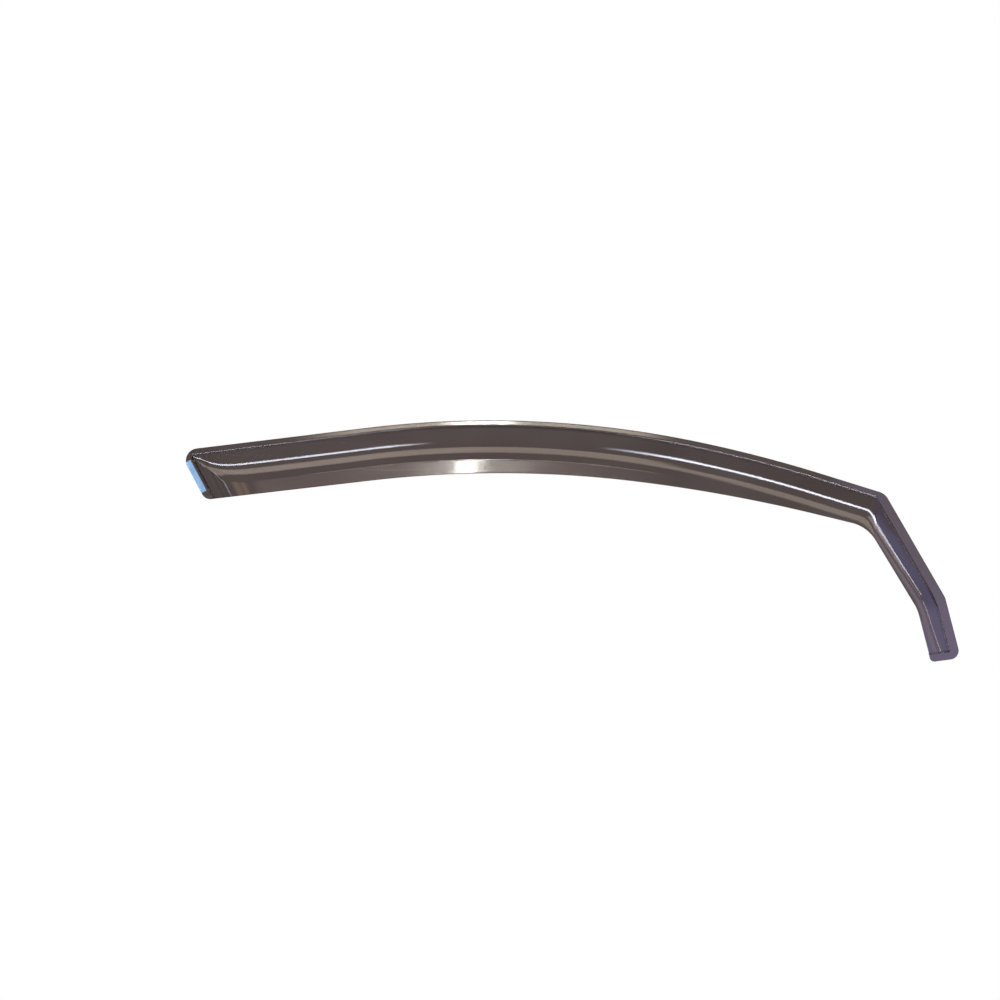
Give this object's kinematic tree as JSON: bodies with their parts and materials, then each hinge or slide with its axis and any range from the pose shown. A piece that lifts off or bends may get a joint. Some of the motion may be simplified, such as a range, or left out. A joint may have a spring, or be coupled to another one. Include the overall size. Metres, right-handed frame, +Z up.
{
  "type": "window rain deflector",
  "caption": "Smoked acrylic rain deflector for a car's front door window, with a channel flange, a slanted face, a rounded ridge, a lower skirt, a bent front leg and a rear adhesive strip.",
  "frame": {"origin": "outer face of the channel flange at the crown of its upper edge", "axes": "+X forward along the door, +Z up along the glass into the window channel, -Y outward from the car"},
  "size_m": [0.8202, 0.0747, 0.2561],
  "materials": {
    "smoked_acrylic": "polished dark smoked acrylic sheet",
    "acrylic_foam": "dark grey closed-cell acrylic foam, sticky on both faces",
    "release_film": "satin light blue release film"
  },
  "bodies": {
    "root": {"visor": "smoked_acrylic", "adhesive_tape": "acrylic_foam", "tape_liner": "release_film"}
  },
  "joints": []
}
